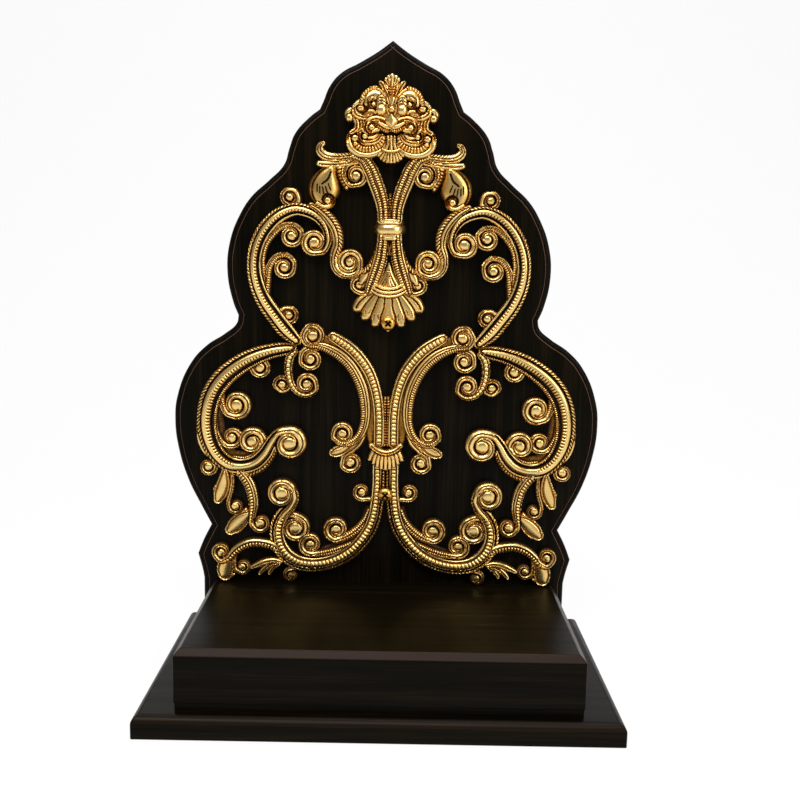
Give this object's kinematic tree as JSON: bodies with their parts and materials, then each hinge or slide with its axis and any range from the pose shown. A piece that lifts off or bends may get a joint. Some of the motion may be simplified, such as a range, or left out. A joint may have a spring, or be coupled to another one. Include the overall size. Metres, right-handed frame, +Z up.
{
  "type": "deity throne",
  "caption": "Dark wooden seat on a plinth with an upright ogee back panel that carries openwork brass scrollwork under a guardian face mask.",
  "frame": {"origin": "centre of the plinth's underside, on the surface that the throne stands on", "axes": "+Z up, -Y towards the viewer in front of the seat, +X to the right as seen from the front"},
  "size_m": [0.2474, 0.146, 0.355],
  "materials": {
    "stained_wood": "hardwood, stained near black brown, satin lacquer",
    "cast_brass": "cast brass, antique gold, dark brown patina in the recesses",
    "brass_screw": "turned brass, bright",
    "steel_screw": "zinc plated steel"
  },
  "bodies": {
    "root": {"plinth": "stained_wood", "spacer_board": "stained_wood", "seat_block": "stained_wood", "back_panel": "stained_wood", "seat_screw_1": "steel_screw", "seat_screw_2": "steel_screw", "seat_screw_3": "steel_screw", "seat_screw_4": "steel_screw", "panel_foot_screw_1": "steel_screw", "panel_foot_screw_2": "steel_screw", "panel_back_screw_1": "steel_screw", "panel_back_screw_2": "steel_screw", "panel_back_screw_3": "steel_screw", "shell_screw": "brass_screw", "column_screw": "brass_screw", "stem_collar": "cast_brass", "kirtimukha_mask": "cast_brass", "clasp": "cast_brass", "stem_skirt": "cast_brass", "arch_right": "cast_brass", "arch_left": "cast_brass", "foot_scroll_right": "cast_brass", "foot_scroll_left": "cast_brass", "lower_scroll_right": "cast_brass", "lower_scroll_left": "cast_brass", "upper_wing_right": "cast_brass", "upper_wing_left": "cast_brass", "wing_scroll_right": "cast_brass", "wing_scroll_left": "cast_brass", "stem_fork": "cast_brass", "pod_right": "cast_brass", "pod_left": "cast_brass", "leaf_spray_right": "cast_brass", "leaf_spray_left": "cast_brass", "shell": "cast_brass", "junction_drop_right": "cast_brass", "junction_drop_left": "cast_brass", "drop_sprig_right": "cast_brass", "drop_sprig_left": "cast_brass", "foot_spray_right": "cast_brass", "foot_spray_left": "cast_brass"}
  },
  "joints": []
}
